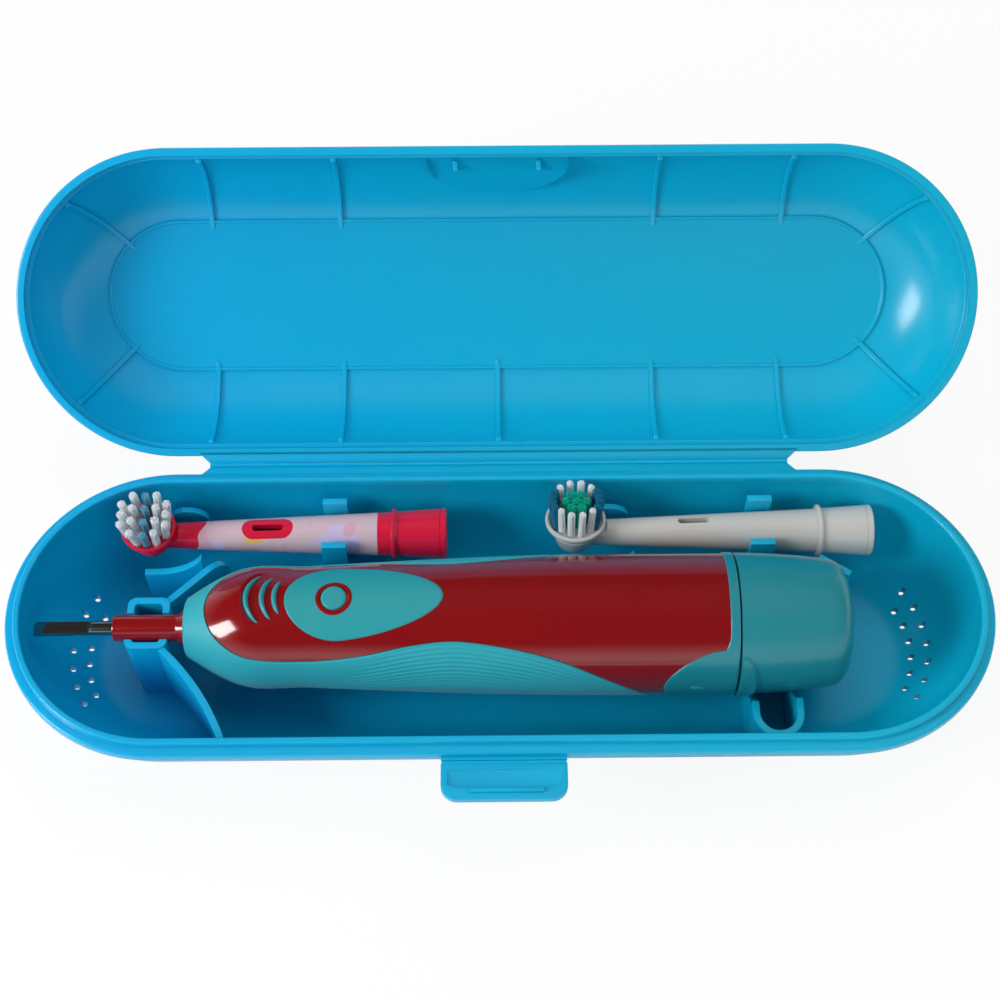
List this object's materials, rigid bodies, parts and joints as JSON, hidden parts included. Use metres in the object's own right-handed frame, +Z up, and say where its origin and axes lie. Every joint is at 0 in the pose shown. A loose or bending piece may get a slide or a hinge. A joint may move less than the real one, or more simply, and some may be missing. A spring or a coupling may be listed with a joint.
{
  "type": "electric toothbrush travel case",
  "caption": "Hinged clamshell travel case with latch and vents, moulded holders, a battery toothbrush with push button and twist-off tail, and spare round brush heads.",
  "frame": {"origin": "middle of the flat underside of the case base", "axes": "X along the case, +X towards the battery cover; +Y to the hinge side; +Z up"},
  "size_m": [0.245, 0.1556, 0.087],
  "materials": {
    "case_blue": "translucent sky blue moulded polypropylene, satin inside and gloss outside",
    "handle_red": "gloss red",
    "grip_teal": "soft teal overmould with fine ridges",
    "panel_teal": "soft teal, satin",
    "cover_teal": "teal, half gloss",
    "head_red": "gloss magenta red",
    "head_white": "gloss white",
    "print_lilac": "pale lilac printed film with small plain spots",
    "bristle_white": "nylon strands",
    "bristle_blue": "nylon strands",
    "bristle_green": "nylon strands",
    "shaft_steel": "polished steel",
    "motor_steel": "drawn steel can",
    "inner_white": "natural acetal",
    "inner_dark": "dark grey moulded plastic",
    "seal_rubber": "black rubber",
    "contact_brass": "spring brass",
    "cell_wrap": "dark printed battery jacket, no words"
  },
  "bodies": {
    "base": {"base_tub": "case_blue", "hinge_web": "case_blue", "latch_web": "case_blue", "neck_cradle": "case_blue", "tail_cradle": "case_blue", "small_head_rest": "case_blue", "plain_head_rest": "case_blue"},
    "lid": {"case_lid": "case_blue"},
    "latch": {"latch_flap": "case_blue"},
    "toothbrush": {"handle_shell": "handle_red", "grip_sleeve": "grip_teal", "tail_collar": "panel_teal", "switch_panel": "panel_teal", "button_ring": "handle_red", "neck_sleeve": "handle_red", "shaft_seal": "seal_rubber", "motor_bracket": "inner_white", "motor_can": "motor_steel", "switch_block": "inner_dark", "battery_tray": "inner_dark", "front_contacts": "contact_brass", "battery_1": "cell_wrap", "battery_2": "cell_wrap"},
    "button": {"power_button": "panel_teal"},
    "pinion": {"motor_pinion": "inner_white"},
    "gear": {"drive_gear": "inner_white"},
    "shaft": {"drive_shaft": "shaft_steel", "rocker_arm": "inner_white"},
    "cover": {"battery_cover": "cover_teal", "cover_contact": "contact_brass"},
    "small_head": {"small_head_shell": "head_red", "small_head_wrap": "print_lilac", "small_head_rod": "shaft_steel"},
    "small_brush": {"small_disc": "head_red", "small_white_tufts": "bristle_white", "small_blue_tufts": "bristle_blue"},
    "plain_head": {"plain_head_shell": "head_white", "plain_head_collar": "head_white", "plain_head_rod": "shaft_steel"},
    "plain_brush": {"plain_disc": "head_white", "plain_white_tufts": "bristle_white", "plain_blue_tufts": "bristle_blue", "plain_green_tufts": "bristle_green"}
  },
  "joints": [
    {"name": "lid_hinge", "type": "hinge", "parent": "base", "child": "lid", "pos_m": [0, 0.0416, 0.031], "axis": [-1, 0, 0], "range_deg": [-136, 44]},
    {"name": "latch_hinge", "type": "hinge", "parent": "base", "child": "latch", "pos_m": [0.0004, -0.0406, 0.0288], "axis": [1, 0, 0], "range_deg": [-90, 80]},
    {"name": "toothbrush_lift", "type": "slide", "parent": "base", "child": "toothbrush", "axis": [0, 0, 1], "range_m": [0, 0.06]},
    {"name": "button_press", "type": "slide", "parent": "toothbrush", "child": "button", "axis": [0, 0, -1], "range_m": [0, 0.0006], "stiffness_N_per_m": 400, "springref_m": -0.0004},
    {"name": "gear_turn", "type": "hinge", "parent": "toothbrush", "child": "gear", "pos_m": [-0.05704, -0.0034, 0.021], "axis": [1, 0, 0], "continuous": true},
    {"name": "pinion_turn", "type": "hinge", "parent": "toothbrush", "child": "pinion", "pos_m": [-0.05704, -0.0034, 0.027], "axis": [1, 0, 0], "continuous": true},
    {"name": "shaft_swing", "type": "hinge", "parent": "toothbrush", "child": "shaft", "pos_m": [-0.07804, -0.0034, 0.027], "axis": [1, 0, 0], "range_deg": [-11.5, 11.5]},
    {"name": "cover_twist", "type": "hinge", "parent": "toothbrush", "child": "cover", "pos_m": [0.05726, -0.0034, 0.027], "axis": [-1, 0, 0], "range_deg": [0, 25]},
    {"name": "small_head_lift", "type": "slide", "parent": "base", "child": "small_head", "axis": [0, 0, 1], "range_m": [0, 0.06]},
    {"name": "plain_head_lift", "type": "slide", "parent": "base", "child": "plain_head", "axis": [0, 0, 1], "range_m": [0, 0.06]},
    {"name": "small_disc_swing", "type": "hinge", "parent": "small_head", "child": "small_brush", "pos_m": [-0.09, 0.0251, 0.0233], "axis": [0, -0.0698, 0.9976], "range_deg": [-25, 25]},
    {"name": "plain_disc_swing", "type": "hinge", "parent": "plain_head", "child": "plain_brush", "pos_m": [0.0195, 0.0251, 0.0233], "axis": [0, 0.2079, 0.9781], "range_deg": [-25, 25]}
  ],
  "couplings": [
    {"joint": "pinion_turn", "follows": "gear_turn", "ratio": -3}
  ]
}
